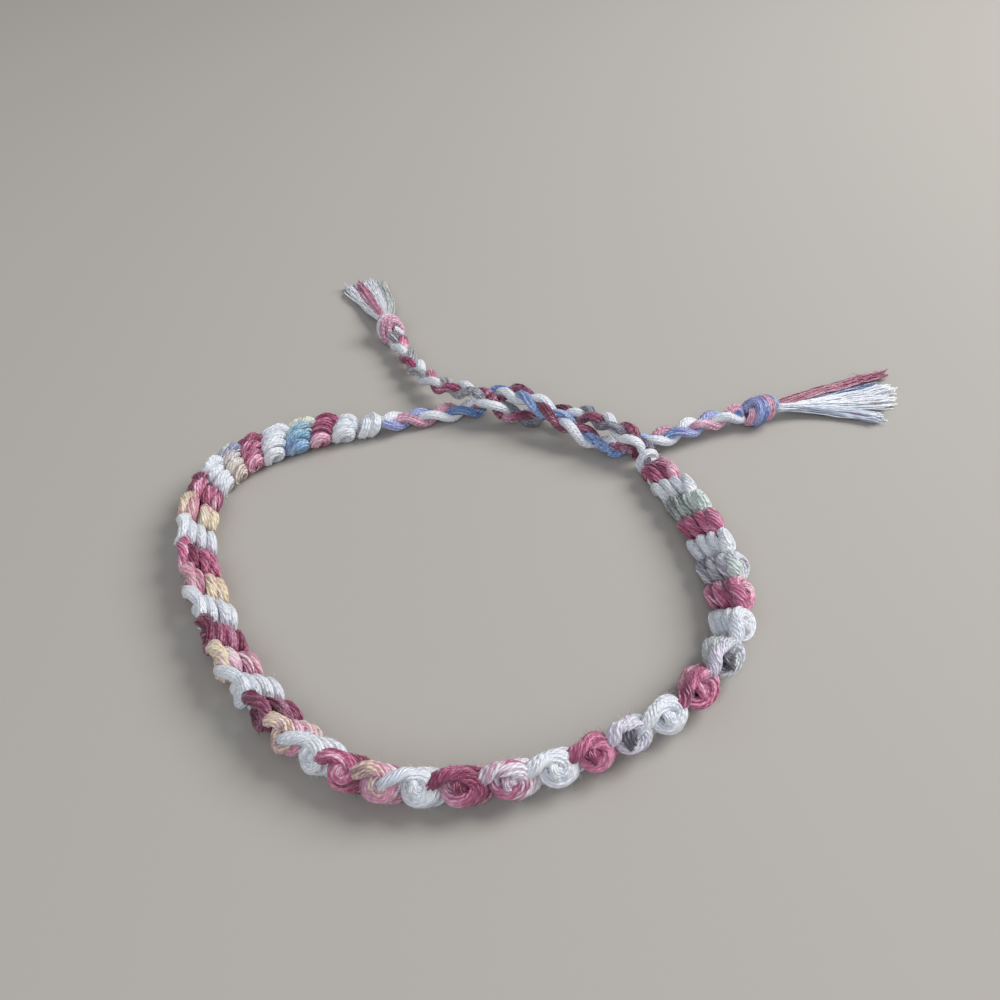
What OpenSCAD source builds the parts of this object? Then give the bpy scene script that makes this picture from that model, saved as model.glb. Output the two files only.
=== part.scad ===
// Knotted string bracelet, tied in a loop and lying on a table.
// The origin is on the table under the middle of the whole bracelet. +X is to the right and +Y to
// the back, where the two braided ties cross.

/* [Knotted band] */
// Number of knotted rows
knot_rows = 38; // [30:1:46]
// Length of band that each row takes up
row_pitch = 3.95; // [3.6:0.05:4.4]
// Width of the band, across the four turns of a row
band_w = 5; // [4.2:0.1:6]
// Thickness of the band at the crest of a row
band_t = 3.7; // [3:0.1:4.2]
// How far a row runs ahead from the band's outer edge to its inner edge
row_slant = 2.6; // [0:0.1:3.6]
// Depth of the groove between two rows
row_groove = 0.7; // [0.3:0.05:1]
// Depth of the dip between the two knots of a row
knot_dip_depth = 0.35; // [0.1:0.05:0.6]

/* [Braided ties] */
// Thickness of one string where it is braided
string_d = 1; // [0.8:0.05:1.2]
// Gap kept between strings
string_gap = 0.06; // [0.04:0.01:0.12]
// Length in which a string goes once from side to side and back
braid_lay = 11.5; // [10:0.5:15]
// Length of the left tie's tail, from the last crossing to its stopper knot
left_tail_l = 17.5; // [14:0.5:30]
// Length of the right tie's tail, from the last crossing to its stopper knot
right_tail_l = 22.5; // [16:0.5:32]

/* [Knots] */
// Length of the wound knot at the band's left end
start_knot_l = 3.8; // [3:0.1:5]
// Length of the wound knot at the band's right end
end_knot_l = 2.4; // [2:0.1:3]
// Thickness of the two wound knots
end_knot_d = 3.5; // [2.8:0.1:4]
// Length of each tie's stopper knot
stop_knot_l = 4.8; // [4:0.1:6]
// Thickness of each tie's stopper knot
stop_knot_d = 4.2; // [3.6:0.1:5]
// Length of one turn of string on a knot
wrap_l = 1.25; // [1:0.05:1.5]
// Depth of the groove between two turns on a knot
wrap_groove = 0.3; // [0.1:0.05:0.4]

/* [Fringes] */
// Length of the left tie's fringe, past its stopper knot
left_fringe_l = 21.5; // [14:0.5:28]
// Length of the right tie's fringe, past its stopper knot
right_fringe_l = 17; // [12:0.5:22]
// Width over the tips of the left tie's fringe
left_fringe_w = 9.4; // [6:0.2:14]
// Width over the tips of the right tie's fringe
right_fringe_w = 5; // [4:0.2:10]
// Thickness of a lock of fringe at its root
lock_d = 1.3; // [1:0.05:1.5]

/* [Hidden] */

WHITE = [0.93, 0.94, 0.96];
ROSE = [0.72, 0.3, 0.42];
BLEND = [0.62, 0.66, 0.8];

// Centre line of the band, a line for every two rows: from the left tie down the left side, along
// the front and up the right side. The first line is the band's start and the last its end.
// columns: x and y as shares of the band's length, lean of the outer edge in degrees, shares of
// the band's width and thickness
RING = [
  [-0.193, 0.049, 12, 0.74, 0.9],
  [-0.231, 0.038, 15, 0.95, 0.96],
  [-0.272, 0.013, 18, 0.98, 1],
  [-0.297, -0.018, 20, 1, 1],
  [-0.308, -0.063, 20, 1, 1],
  [-0.299, -0.117, 20, 1, 1],
  [-0.277, -0.172, 20, 1, 1],
  [-0.252, -0.223, 22, 0.97, 1],
  [-0.220, -0.267, 28, 0.97, 1],
  [-0.185, -0.302, 42, 0.95, 1],
  [-0.143, -0.327, 54, 0.95, 1],
  [-0.095, -0.333, 56, 0.98, 1],
  [-0.037, -0.323, 56, 0.96, 1],
  [0.012, -0.300, 55, 0.96, 1],
  [0.061, -0.267, 55, 1, 1.03],
  [0.101, -0.213, 52, 1.08, 1.05],
  [0.109, -0.156, 50, 1.14, 1.06],
  [0.103, -0.103, 45, 1.1, 1.05],
  [0.090, -0.055, 36, 1.04, 1.02],
  [0.070, -0.008, 20, 0.8, 0.94]
];

// Routes of the two ties behind the band, each from its knot to the last crossing
// columns: x and y as shares of the band's length, height as a share of a braid's thickness
LEFT_TIE = [
  [-0.150, 0.066, 0.58],
  [-0.128, 0.072, 0.51],
  [-0.106, 0.079, 0.5],
  [-0.087, 0.085, 0.55],
  [-0.073, 0.091, 0.85],
  [-0.059, 0.090, 1.33],
  [-0.046, 0.081, 1.68],
  [-0.031, 0.068, 1.74],
  [-0.015, 0.053, 1.52],
  [0.002, 0.040, 1.18],
  [0.020, 0.031, 0.79],
  [0.038, 0.026, 0.52],
  [0.055, 0.025, 0.5]
];
RIGHT_TIE = [
  [0.054, 0.016, 1.62],
  [0.041, 0.025, 1.72],
  [0.028, 0.042, 1.59],
  [0.014, 0.058, 1.22],
  [-0.003, 0.067, 0.89],
  [-0.019, 0.071, 0.66],
  [-0.035, 0.071, 0.55],
  [-0.050, 0.070, 0.77],
  [-0.063, 0.070, 1.2],
  [-0.075, 0.075, 1.59],
  [-0.087, 0.083, 1.74]
];

// Tails of the two ties, from the last crossing to the stopper knot
// columns: x and y as shares of the tail's length, height as a share of the knot's thickness
LEFT_TAIL = [
  [0.142, 0.040, 0.4],
  [0.303, 0.097, 0.46],
  [0.491, 0.189, 0.5],
  [0.691, 0.286, 0.5],
  [0.862, 0.358, 0.5]
];
RIGHT_TAIL = [
  [-0.092, 0.058, 0.9],
  [-0.196, 0.154, 0.71],
  [-0.306, 0.300, 0.56],
  [-0.410, 0.495, 0.46],
  [-0.494, 0.700, 0.44],
  [-0.535, 0.775, 0.5]
];

// Directions that the stopper knots and their fringes point in, counterclockwise from +X
LEFT_HEADING = 16;
RIGHT_HEADING = 111;
// How far the end knot's far side is tipped up
END_KNOT_TIP = 32;

// Locks of the two fringes, from their left to their right
// columns: share of the fringe's length, place across it halfway and at the tip as shares of half
// its width, share of the root's width at the tip, rise halfway as a share of the root's width
LEFT_LOCKS = [
  [1, 0.54, 1.08, 1, 0.6],
  [0.9, 0.36, 0.48, 0.8, 0.1],
  [0.95, 0.18, 0.33, 1.7, 0],
  [0.88, -0.02, -0.28, 1.8, 0],
  [0.7, -0.14, -0.95, 1.5, 0]
];
RIGHT_LOCKS = [
  [0.97, 0.45, 0.8, 1.1, 0],
  [0.96, 0.1, 0.1, 1, 0.4],
  [1, -0.45, -0.6, 1.7, 0.1],
  [0.92, -1, -1.15, 1.4, 0]
];

BAND_SIDES = 12;
RINGS_PER_ROW = 6;
EDGE_ROUNDING = 0.8;
DIP_SHARPNESS = 8;
STRING_SIDES = 6;
RINGS_PER_LAY = 14;
SPLINE_STEPS = 8;
// Reach of a braid's strings to its sides and up or down, as shares of a string with its gap
SPREAD_SHARE = 0.96;
RISE_SHARE = 0.7;
// Where each string of a braid is in its round at the braid's start, in degrees
WHITE_TURN = 0;
ROSE_TURN = 120;
BLEND_TURN = 240;
KNOT_SIDES = 12;
RINGS_PER_WRAP = 4;
KNOT_END_SHARE = 0.8;
STOP_WRAP_SLANT = 2;
LOCK_SIDES = 6;
LOCK_RINGS = 8;
LOCK_THINNING = 0.35;
FRINGE_HEAD_L = 1.6;
FRINGE_HEAD_RINGS = 4;
// Straight start and end of a tie at its knots
LEAD_L = 1;
CLEARANCE = 0.05;
// Gap between a knot and the ends of its strings
STRING_CLEARANCE = 0.1;
ROW_STEP = 0.02;
ROUTE_STEP = 0.5;
STRING_STEP = 0.2;

band_l = knot_rows * row_pitch;
braid_spread = SPREAD_SHARE * (string_d + string_gap);
braid_rise = RISE_SHARE * (string_d + string_gap);
braid_t = 2 * braid_rise + string_d;

// Plain helpers
function unit(v) = v / norm(v);
function power(v, p) = sign(v) * pow(abs(v), p);
function heading(angle) = [cos(angle), sin(angle), 0];
function blend(a, b, c, d, t) =
  0.5 * (2 * b + (c - a) * t + (2 * a - 5 * b + 4 * c - d) * t * t + (3 * b - a - 3 * c + d) * t * t * t);

// Value of a table at a place counted in its lines, along a smooth curve through all of them
function table_at(table, place) =
  let (
    last = len(table) - 1,
    i = min(last - 1, max(0, floor(place))),
    before = i == 0 ? 2 * table[0] - table[1] : table[i - 1],
    after = i == last - 1 ? 2 * table[last] - table[last - 1] : table[i + 2]
  )
  blend(before, table[i], table[i + 1], after, place - i);

// Height of a round thread's back over its edges, from 0 between two turns to 1 on a turn's crest
function crest(turns) = sqrt(1 - pow(2 * (turns - floor(turns)) - 1, 2));

// Ring of points about a middle, at right angles to a direction, with its own radius at each corner
function ring_about(middle, ahead, radii) =
  let (
    aside = unit(cross([0, 0, 1], ahead)),
    up = cross(ahead, aside),
    n = len(radii)
  )
  [for (j = [0:n - 1]) middle + (aside * cos(j * 360 / n) + up * sin(j * 360 / n)) * radii[j]];

// Closed tube through a list of rings, each with as many points that run counterclockwise seen
// against the way the tube runs
module skin(rings) {
  n = len(rings[0]);
  last = (len(rings) - 1) * n;
  sides = [
    for (i = [0:len(rings) - 2], j = [0:n - 1], upper = [0, 1])
      let (a = i * n + j, b = i * n + (j + 1) % n, c = b + n, d = a + n)
      upper == 0 ? [a, d, c] : [a, c, b]
  ];
  ends = [[for (j = [0:n - 1]) j], [for (j = [n - 1:-1:0]) last + j]];
  polyhedron([for (r = rings) each r], concat(sides, ends), convexity = 10);
}

// Band. A place along it is counted in rows, from 0 at the start to knot_rows at the end
function ring_at(row) = table_at(RING, row / knot_rows * (len(RING) - 1));
function ring_ahead(row) =
  let (d = ring_at(row + ROW_STEP) - ring_at(row - ROW_STEP))
  unit([d[0], d[1], 0]);

// A section's corner as its distance to the outer edge and to the face, with no relief
function section_point(angle, w, t) =
  [power(cos(angle), EDGE_ROUNDING) * w / 2, power(sin(angle), EDGE_ROUNDING) * t / 2];

// Height of the middle of a section that leans and touches the table
function rest_height(w, t, lean) =
  max([
    for (j = [0:BAND_SIDES - 1])
      let (p = section_point(j * 360 / BAND_SIDES, w, t))
      -(p[0] * sin(lean) + p[1] * cos(lean))
  ]);

// Corner of the band at a place along it. Its outer side lags and its inner side runs ahead, by
// half a row's slant each
function band_point(row, angle) =
  let (
    fade = min(1, row, knot_rows - row),
    place = row - cos(angle) / 2 * fade * row_slant / row_pitch,
    ring = ring_at(place),
    ahead = ring_ahead(place),
    w = band_w * ring[3],
    t = band_t * ring[4],
    lean = ring[2],
    out = [ahead[1] * cos(lean), -ahead[0] * cos(lean), sin(lean)],
    face = [-ahead[1] * sin(lean), ahead[0] * sin(lean), cos(lean)],
    dip = knot_dip_depth * crest(row) * pow(sin(angle), DIP_SHARPNESS),
    sunk = 1 - 2 * row_groove * (1 - crest(row)) / t,
    p = section_point(angle, w, t)
  )
  [ring[0] * band_l, ring[1] * band_l, rest_height(w, t, lean)]
    + out * p[0] * sunk
    + face * (p[1] * sunk - sign(sin(angle)) * dip);

module knotted_band() {
  rings = [
    for (i = [0:knot_rows * RINGS_PER_ROW])
      [for (j = [0:BAND_SIDES - 1]) band_point(i / RINGS_PER_ROW, -j * 360 / BAND_SIDES)]
  ];
  color(ROSE) skin(rings);
}

// Place on a way that starts in one direction and bends evenly to another
function bend_at(from, leave, arrive, length, share) =
  from + length * (leave * (share - share * share / 2) + arrive * share * share / 2);

// Knot of string wound round such a way. wrap_slant says how many turns a wrap runs ahead on its
// way round
module wound_knot(from, leave, arrive, length, d, wrap_slant) {
  wraps = max(1, round(length / wrap_l));
  count = wraps * RINGS_PER_WRAP;
  skin([
    for (i = [0:count])
      let (
        share = i / count,
        belly = KNOT_END_SHARE + (1 - KNOT_END_SHARE) * sin(180 * share),
        radii = [
          for (j = [0:KNOT_SIDES - 1])
            let (turns = share * wraps + wrap_slant * j / KNOT_SIDES)
            d / 2 * belly - wrap_groove * (1 - crest(turns))
        ]
      )
      ring_about(
        bend_at(from, leave, arrive, length, share), unit(leave * (1 - share) + arrive * share), radii
      )
  ]);
}

// The two wound knots start at the band's ends, and the ties start at the knots' far sides
function band_end(row) = let (ring = ring_at(row)) [ring[0] * band_l, ring[1] * band_l, end_knot_d / 2];

start_knot_from = band_end(0) - ring_ahead(0) * CLEARANCE;
start_knot_ahead = -ring_ahead(0);
start_knot_tip = start_knot_from + start_knot_ahead * start_knot_l;

end_knot_from = band_end(knot_rows) + ring_ahead(knot_rows) * CLEARANCE;
end_knot_leave = ring_ahead(knot_rows);
end_knot_arrive = end_knot_leave * cos(END_KNOT_TIP) + [0, 0, sin(END_KNOT_TIP)];
end_knot_tip = bend_at(end_knot_from, end_knot_leave, end_knot_arrive, end_knot_l, 1);

module start_knot() {
  color(WHITE)
    wound_knot(start_knot_from, start_knot_ahead, start_knot_ahead, start_knot_l, end_knot_d, 0);
}
module end_knot() {
  color(WHITE)
    wound_knot(end_knot_from, end_knot_leave, end_knot_arrive, end_knot_l, end_knot_d, 0);
}

// Points of a tie's route, from its wound knot over the crossings to its stopper knot
function route_points(start, start_ahead, tie, tail, tail_l, end_ahead) =
  let (
    tie_points = [for (p = tie) [p[0] * band_l, p[1] * band_l, p[2] * braid_t]],
    hub = tie_points[len(tie) - 1],
    tail_points = [for (p = tail) [hub[0] + p[0] * tail_l, hub[1] + p[1] * tail_l, p[2] * stop_knot_d]],
    end = tail_points[len(tail) - 1]
  )
  concat([start, start + start_ahead * LEAD_L], tie_points, tail_points, [end + end_ahead * LEAD_L]);

// A route as three lookup tables, x, y and z by length, and its whole length
function route(points) =
  let (
    fine = [for (i = [0:(len(points) - 1) * SPLINE_STEPS]) table_at(points, i / SPLINE_STEPS)],
    last = len(fine) - 1,
    lengths = [
      for (i = 0, s = 0; i <= last; s = s + (i < last ? norm(fine[i + 1] - fine[i]) : 0), i = i + 1) s
    ]
  )
  [
    [for (i = [0:last]) [lengths[i], fine[i][0]]],
    [for (i = [0:last]) [lengths[i], fine[i][1]]],
    [for (i = [0:last]) [lengths[i], fine[i][2]]],
    lengths[last]
  ];
function route_at(route, s) = [lookup(s, route[0]), lookup(s, route[1]), lookup(s, route[2])];
function route_ahead(route, s) =
  unit(route_at(route, s + ROUTE_STEP) - route_at(route, s - ROUTE_STEP));
function route_end(route) = route_at(route, route[3]);

left_route = route(route_points(
  start_knot_tip, start_knot_ahead, LEFT_TIE, LEFT_TAIL, left_tail_l, heading(LEFT_HEADING)
));
right_route = route(route_points(
  end_knot_tip, end_knot_arrive, RIGHT_TIE, RIGHT_TAIL, right_tail_l, heading(RIGHT_HEADING)
));

// Middle of one string of a braid, which swings from side to side and passes over and under
function string_at(route, s, turn) =
  let (
    ahead = route_ahead(route, s),
    aside = unit(cross([0, 0, 1], ahead)),
    up = cross(ahead, aside),
    angle = 360 * s / braid_lay + turn
  )
  route_at(route, s) + aside * braid_spread * sin(angle) + up * braid_rise * sin(2 * angle);

// Direction of a string, or of its route at the two ends, whose faces lie flat against the knots
function string_ahead(route, s, turn, at_end) =
  at_end ? route_ahead(route, s)
    : unit(string_at(route, s + STRING_STEP, turn) - string_at(route, s - STRING_STEP, turn));

module braid_string(route, turn) {
  start = STRING_CLEARANCE;
  stop = route[3] - STRING_CLEARANCE;
  count = ceil((stop - start) / braid_lay * RINGS_PER_LAY);
  skin([
    for (i = [0:count])
      let (s = start + (stop - start) * i / count)
      ring_about(
        string_at(route, s, turn), string_ahead(route, s, turn, i == 0 || i == count),
        [for (j = [1:STRING_SIDES]) string_d / 2]
      )
  ]);
}

module stop_knot(route, angle) {
  ahead = heading(angle);
  wound_knot(route_end(route), ahead, ahead, stop_knot_l, stop_knot_d, STOP_WRAP_SLANT);
}

// Lock of fringe, from the head's middle to its own place across the fringe and down to the table
module lock(from, ahead, fringe_l, fringe_w, row) {
  aside = cross([0, 0, 1], ahead);
  length = (fringe_l - FRINGE_HEAD_L / 2) * row[0];
  skin([
    for (i = [0:LOCK_RINGS - 1])
      let (
        share = i / (LOCK_RINGS - 1),
        halfway = 4 * share * (1 - share),
        at_tip = share * (2 * share - 1),
        across = fringe_w / 2 * (row[1] * halfway + row[2] * at_tip),
        w = lock_d * (1 + (row[3] - 1) * share),
        t = lock_d * (1 - LOCK_THINNING * share),
        fall = (from[2] - t / 2) * pow(1 - share, 2),
        height = t / 2 + fall + row[4] * lock_d * halfway,
        middle = [from[0], from[1], height] + ahead * length * share + aside * across
      )
      [
        for (j = [0:LOCK_SIDES - 1])
          let (a = j * 360 / LOCK_SIDES)
          middle + aside * cos(a) * w / 2 + [0, 0, sin(a) * t / 2]
      ]
  ]);
}

module fringe(route, angle, fringe_l, fringe_w, locks) {
  ahead = heading(angle);
  root = route_end(route) + ahead * (stop_knot_l + CLEARANCE);
  skin([
    for (i = [0:FRINGE_HEAD_RINGS - 1])
      let (share = i / (FRINGE_HEAD_RINGS - 1))
      ring_about(
        root + ahead * FRINGE_HEAD_L * share, ahead,
        [for (j = [1:KNOT_SIDES]) lock_d * (KNOT_END_SHARE + (1 - KNOT_END_SHARE) * sin(180 * share))]
      )
  ]);
  for (row = locks) lock(root + ahead * FRINGE_HEAD_L / 2, ahead, fringe_l, fringe_w, row);
}

module left_tie_white() { color(WHITE) braid_string(left_route, WHITE_TURN); }
module left_tie_rose() { color(ROSE) braid_string(left_route, ROSE_TURN); }
module left_tie_blend() { color(BLEND) braid_string(left_route, BLEND_TURN); }
module right_tie_white() { color(WHITE) braid_string(right_route, WHITE_TURN); }
module right_tie_rose() { color(ROSE) braid_string(right_route, ROSE_TURN); }
module right_tie_blend() { color(BLEND) braid_string(right_route, BLEND_TURN); }
module left_tie_knot() { color(BLEND) stop_knot(left_route, LEFT_HEADING); }
module right_tie_knot() { color(ROSE) stop_knot(right_route, RIGHT_HEADING); }
module left_tie_fringe() {
  color(WHITE) fringe(left_route, LEFT_HEADING, left_fringe_l, left_fringe_w, LEFT_LOCKS);
}
module right_tie_fringe() {
  color(WHITE) fringe(right_route, RIGHT_HEADING, right_fringe_l, right_fringe_w, RIGHT_LOCKS);
}

knotted_band();
start_knot();
end_knot();
left_tie_white();
left_tie_rose();
left_tie_blend();
right_tie_white();
right_tie_rose();
right_tie_blend();
left_tie_knot();
right_tie_knot();
left_tie_fringe();
right_tie_fringe();
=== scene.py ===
import math

import bpy
import numpy as np
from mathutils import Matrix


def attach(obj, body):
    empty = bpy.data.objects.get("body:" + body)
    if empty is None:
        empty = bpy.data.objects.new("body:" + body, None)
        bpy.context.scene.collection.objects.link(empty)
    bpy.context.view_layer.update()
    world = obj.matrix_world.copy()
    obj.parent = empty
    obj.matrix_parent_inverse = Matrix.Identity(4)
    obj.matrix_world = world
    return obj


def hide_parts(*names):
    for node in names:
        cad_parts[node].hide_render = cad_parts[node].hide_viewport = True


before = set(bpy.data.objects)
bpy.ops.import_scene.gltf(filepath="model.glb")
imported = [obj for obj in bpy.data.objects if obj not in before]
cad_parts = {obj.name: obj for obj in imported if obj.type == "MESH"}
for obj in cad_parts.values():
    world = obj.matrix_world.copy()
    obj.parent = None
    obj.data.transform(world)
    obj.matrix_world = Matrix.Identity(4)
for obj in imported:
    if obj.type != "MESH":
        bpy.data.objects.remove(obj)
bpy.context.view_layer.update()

MM = 0.001
SEED = 11
rng = np.random.default_rng(SEED)

# Sizes in millimetres, as in the part's source
KNOT_ROWS = 38
ROW_PITCH = 3.95
BAND_L = KNOT_ROWS * ROW_PITCH
BAND_W = 5.0
BAND_T = 3.7
ROW_SLANT = 2.6
STRING_D = 1.0
STRING_GAP = 0.06
BRAID_LAY = 11.5
BRAID_SPREAD = 0.96 * (STRING_D + STRING_GAP)
BRAID_RISE = 0.7 * (STRING_D + STRING_GAP)
BRAID_T = 2 * BRAID_RISE + STRING_D
LEFT_TAIL_L = 17.5
RIGHT_TAIL_L = 22.5
START_KNOT_L = 3.8
END_KNOT_L = 2.4
END_KNOT_D = 3.5
STOP_KNOT_L = 4.8
STOP_KNOT_D = 4.2
LEFT_FRINGE_L = 21.5
RIGHT_FRINGE_L = 17.0
LEFT_FRINGE_W = 9.4
RIGHT_FRINGE_W = 5.0
LOCK_D = 1.3
LEAD_L = 1.0
CLEARANCE = 0.05
EDGE_ROUNDING = 0.8
BAND_SIDES = 12
LEFT_HEADING = 16
RIGHT_HEADING = 111
END_KNOT_TIP = 32

# Centre line of the band, a line for every two rows: x and y as shares of the band's length, lean
# of the outer edge in degrees, shares of the band's width and thickness
RING = [
    (-0.193, 0.049, 12, 0.74, 0.9), (-0.231, 0.038, 15, 0.95, 0.96),
    (-0.272, 0.013, 18, 0.98, 1), (-0.297, -0.018, 20, 1, 1),
    (-0.308, -0.063, 20, 1, 1), (-0.299, -0.117, 20, 1, 1),
    (-0.277, -0.172, 20, 1, 1), (-0.252, -0.223, 22, 0.97, 1),
    (-0.220, -0.267, 28, 0.97, 1), (-0.185, -0.302, 42, 0.95, 1),
    (-0.143, -0.327, 54, 0.95, 1), (-0.095, -0.333, 56, 0.98, 1),
    (-0.037, -0.323, 56, 0.96, 1), (0.012, -0.300, 55, 0.96, 1),
    (0.061, -0.267, 55, 1, 1.03), (0.101, -0.213, 52, 1.08, 1.05),
    (0.109, -0.156, 50, 1.14, 1.06), (0.103, -0.103, 45, 1.1, 1.05),
    (0.090, -0.055, 36, 1.04, 1.02), (0.070, -0.008, 20, 0.8, 0.94),
]

# Routes of the ties up to their last crossing: x and y as shares of the band's length, height as
# a share of a braid's thickness
LEFT_TIE = [
    (-0.150, 0.066, 0.58), (-0.128, 0.072, 0.51), (-0.106, 0.079, 0.5), (-0.087, 0.085, 0.55),
    (-0.073, 0.091, 0.85), (-0.059, 0.090, 1.33), (-0.046, 0.081, 1.68), (-0.031, 0.068, 1.74),
    (-0.015, 0.053, 1.52), (0.002, 0.040, 1.18), (0.020, 0.031, 0.79), (0.038, 0.026, 0.52),
    (0.055, 0.025, 0.5),
]
RIGHT_TIE = [
    (0.054, 0.016, 1.62), (0.041, 0.025, 1.72), (0.028, 0.042, 1.59), (0.014, 0.058, 1.22),
    (-0.003, 0.067, 0.89), (-0.019, 0.071, 0.66), (-0.035, 0.071, 0.55), (-0.050, 0.070, 0.77),
    (-0.063, 0.070, 1.2), (-0.075, 0.075, 1.59), (-0.087, 0.083, 1.74),
]

# Tails of the ties: x and y as shares of the tail's length, height as a share of the knot's
# thickness
LEFT_TAIL = [
    (0.142, 0.040, 0.4), (0.303, 0.097, 0.46), (0.491, 0.189, 0.5), (0.691, 0.286, 0.5),
    (0.862, 0.358, 0.5),
]
RIGHT_TAIL = [
    (-0.092, 0.058, 0.9), (-0.196, 0.154, 0.71), (-0.306, 0.300, 0.56), (-0.410, 0.495, 0.46),
    (-0.494, 0.700, 0.44), (-0.535, 0.775, 0.5),
]

# Locks of the fringes: share of the fringe's length, place across it halfway and at the tip as
# shares of half its width, share of the root's width at the tip, rise halfway as a share of that
# width, and the string that its strands come from
LEFT_LOCKS = [
    (1, 0.54, 1.08, 1, 0.6, "rose"), (0.9, 0.36, 0.48, 0.8, 0.1, "blend"),
    (0.95, 0.18, 0.33, 1.7, 0, "white"), (0.88, -0.02, -0.28, 1.8, 0, "white"),
    (0.7, -0.14, -0.95, 1.5, 0, "blend"),
]
RIGHT_LOCKS = [
    (0.97, 0.45, 0.8, 1.1, 0, "white"), (0.96, 0.1, 0.1, 1, 0.4, "rose"),
    (1, -0.45, -0.6, 1.7, 0.1, "white"), (0.92, -1, -1.15, 1.4, 0, "blend"),
]

UP = np.array([0.0, 0.0, 1.0])
COLOURS = ("white", "rose", "blend")

# A string is a bundle of strands, of which the outer ones are made
STRANDS = 10
STRAND_R = 0.165
STRAND_SIDES = 5
PLAIN_TWIST_L = 45.0

# Sideways drift of the strands, the length that it takes, and a quicker and smaller drift on it
DRIFT = 0.065
WHITE_DRIFT = 0.04
DRIFT_L = 8
QUICK_DRIFT = 2.3
QUICK_SHARE = 0.6
DRIFT_SPAN = (0.7, 1.4)

# The core that fills a string, and how far it reaches under the strands as a share of their radius
CORE_SIDES = 8
CORE_FILL = 0.5
WHITE_CORE_FILL = 0.85

# Strands of a fringe. Their plies are longer, so that they look smooth
FRINGE_R = 0.11
FRINGE_SIDES = 4
FRINGE_TWIST = 0.3

# Stray fibres: their shape with its spans of chance, the share that stands on a string's outer
# strand, their least height over the table, and their number on a millimetre of string
FIBRE_R = 0.018
FIBRE_TIP = 0.4
FIBRE_POINTS = 3
FIBRE_SIDES = 3
FIBRE_L = 0.7
FIBRE_L_SPAN = (0.5, 1.5)
FIBRE_LIFT = 0.7
FIBRE_SPLAY = 0.6
FIBRE_REACH = (0.3, 1)
FIBRE_BEND = (0.6, 1.6)
OUTER_FIBRES = 0.6
FIBRE_LOW = 0.05
FUZZ = 4.2

# Points worked out between two given ones of a path
PATH_FINENESS = 16
ROUTE_FINENESS = 8
# Rows over which the band's direction is measured, and how near its ends a row's string may come
NEAR = 0.02


# Plain helpers
def unit(v):
    return v / np.linalg.norm(v, axis=-1, keepdims=True)


def smooth(t):
    t = np.clip(t, 0, 1)
    return t * t * (3 - 2 * t)


def heading(angle):
    a = math.radians(angle)
    return np.array([math.cos(a), math.sin(a), 0.0])


def table_at(table, place):
    """Values of a table at places counted in its lines, along a smooth curve through them."""
    table = np.asarray(table, float)
    place = np.atleast_1d(np.asarray(place, float))
    last = len(table) - 1
    i = np.clip(np.floor(place).astype(int), 0, last - 1)
    padded = np.vstack([2 * table[0] - table[1], table, 2 * table[last] - table[last - 1]])
    a, b, c, d = padded[i], padded[i + 1], padded[i + 2], padded[i + 3]
    t = (place - i)[:, None]
    return 0.5 * (
        2 * b + (c - a) * t + (2 * a - 5 * b + 4 * c - d) * t**2 + (3 * b - a - 3 * c + d) * t**3
    )


def curve(points, fineness):
    """A smooth curve through points, in so many steps from each to the next."""
    last = len(points) - 1
    return table_at(points, np.linspace(0, last, last * fineness + 1))


def run_along(points):
    """Length along a path at each of its points."""
    return np.concatenate([[0], np.cumsum(np.linalg.norm(np.diff(points, axis=0), axis=1))])


def even(points, step):
    """Points along a smooth curve through the given ones, evenly spaced, and their lengths."""
    fine = curve(points, PATH_FINENESS)
    runs = run_along(fine)
    s = np.linspace(0, runs[-1], max(2, int(round(runs[-1] / step)) + 1))
    return np.column_stack([np.interp(s, runs, fine[:, k]) for k in range(fine.shape[1])]), s


# Band. A place along it is counted in rows
def ring_at(row):
    return table_at(RING, np.atleast_1d(row) / KNOT_ROWS * (len(RING) - 1))


def ring_ahead(row):
    row = np.atleast_1d(np.asarray(row, float))
    d = ring_at(row + NEAR) - ring_at(row - NEAR)
    return unit(np.column_stack([d[:, 0], d[:, 1], 0 * row]))


def band_size(row):
    ring = ring_at(row)
    return BAND_W * ring[:, 3], BAND_T * ring[:, 4]


def band_frame(row):
    """Middle of the band, and the directions to its outer edge and its face."""
    ring = ring_at(row)
    ahead = ring_ahead(row)
    w, t = band_size(row)
    lean = np.radians(ring[:, 2])
    c, s = np.cos(lean), np.sin(lean)
    out = np.column_stack([ahead[:, 1] * c, -ahead[:, 0] * c, s])
    face = np.column_stack([-ahead[:, 1] * s, ahead[:, 0] * s, c])
    corners = np.arange(BAND_SIDES) * math.tau / BAND_SIDES
    p0 = np.sign(np.cos(corners)) * np.abs(np.cos(corners)) ** EDGE_ROUNDING / 2
    p1 = np.sign(np.sin(corners)) * np.abs(np.sin(corners)) ** EDGE_ROUNDING / 2
    low = np.outer(w * s, p0) + np.outer(t * c, p1)
    middle = np.column_stack([ring[:, 0] * BAND_L, ring[:, 1] * BAND_L, (-low).max(axis=1)])
    return middle, out, face


def band_xyz(local):
    """Points given as row, distance towards the outer edge and towards the face."""
    row, across, height = local.T
    w, _ = band_size(row)
    fade = np.clip(np.minimum(row, KNOT_ROWS - row), 0, 1)
    place = row - across / w * fade * ROW_SLANT / ROW_PITCH
    middle, out, face = band_frame(place)
    return middle + out * across[:, None] + face * height[:, None]


# Meshes
def add_object(name, data):
    made = bpy.data.objects.new(name, data)
    bpy.context.scene.collection.objects.link(made)
    return made


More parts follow.
